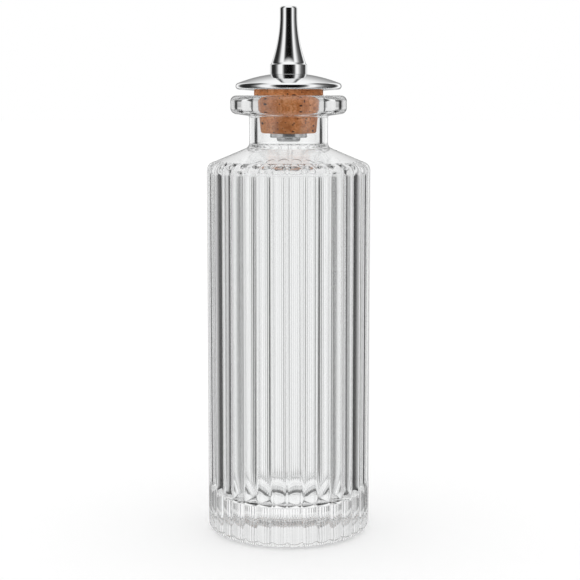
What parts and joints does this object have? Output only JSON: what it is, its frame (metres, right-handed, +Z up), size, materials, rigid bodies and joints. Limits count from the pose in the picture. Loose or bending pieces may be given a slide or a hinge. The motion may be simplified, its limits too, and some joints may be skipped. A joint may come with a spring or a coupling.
{
  "type": "bitters bottle",
  "caption": "Fluted clear glass bitters bottle with a thick base, closed by a drilled cork that carries a domed steel disc and a tapered dasher spout.",
  "frame": {"origin": "centre of the base, on the surface the bottle stands on", "axes": "+Z up along the bottle's axis, towards the spout; +X through a flute crest; -Y is the front in the picture"},
  "size_m": [0.055, 0.0548, 0.1775],
  "materials": {
    "clear_glass": "clear, polished by fire",
    "cork": "agglomerated cork granules, sanded",
    "polished_steel": "mirror-polished stainless steel",
    "turned_steel": "turned stainless steel"
  },
  "bodies": {
    "bottle": {"glass_bottle": "clear_glass"},
    "stopper": {"cork_stopper": "cork", "cap_disc": "polished_steel", "dasher_spout": "polished_steel", "stem_tube": "turned_steel", "retaining_washer": "turned_steel", "retaining_nut": "turned_steel"}
  },
  "joints": [
    {"name": "stopper_lift", "type": "slide", "parent": "bottle", "child": "stopper", "axis": [0, 0, 1], "range_m": [0, 0.045]}
  ]
}
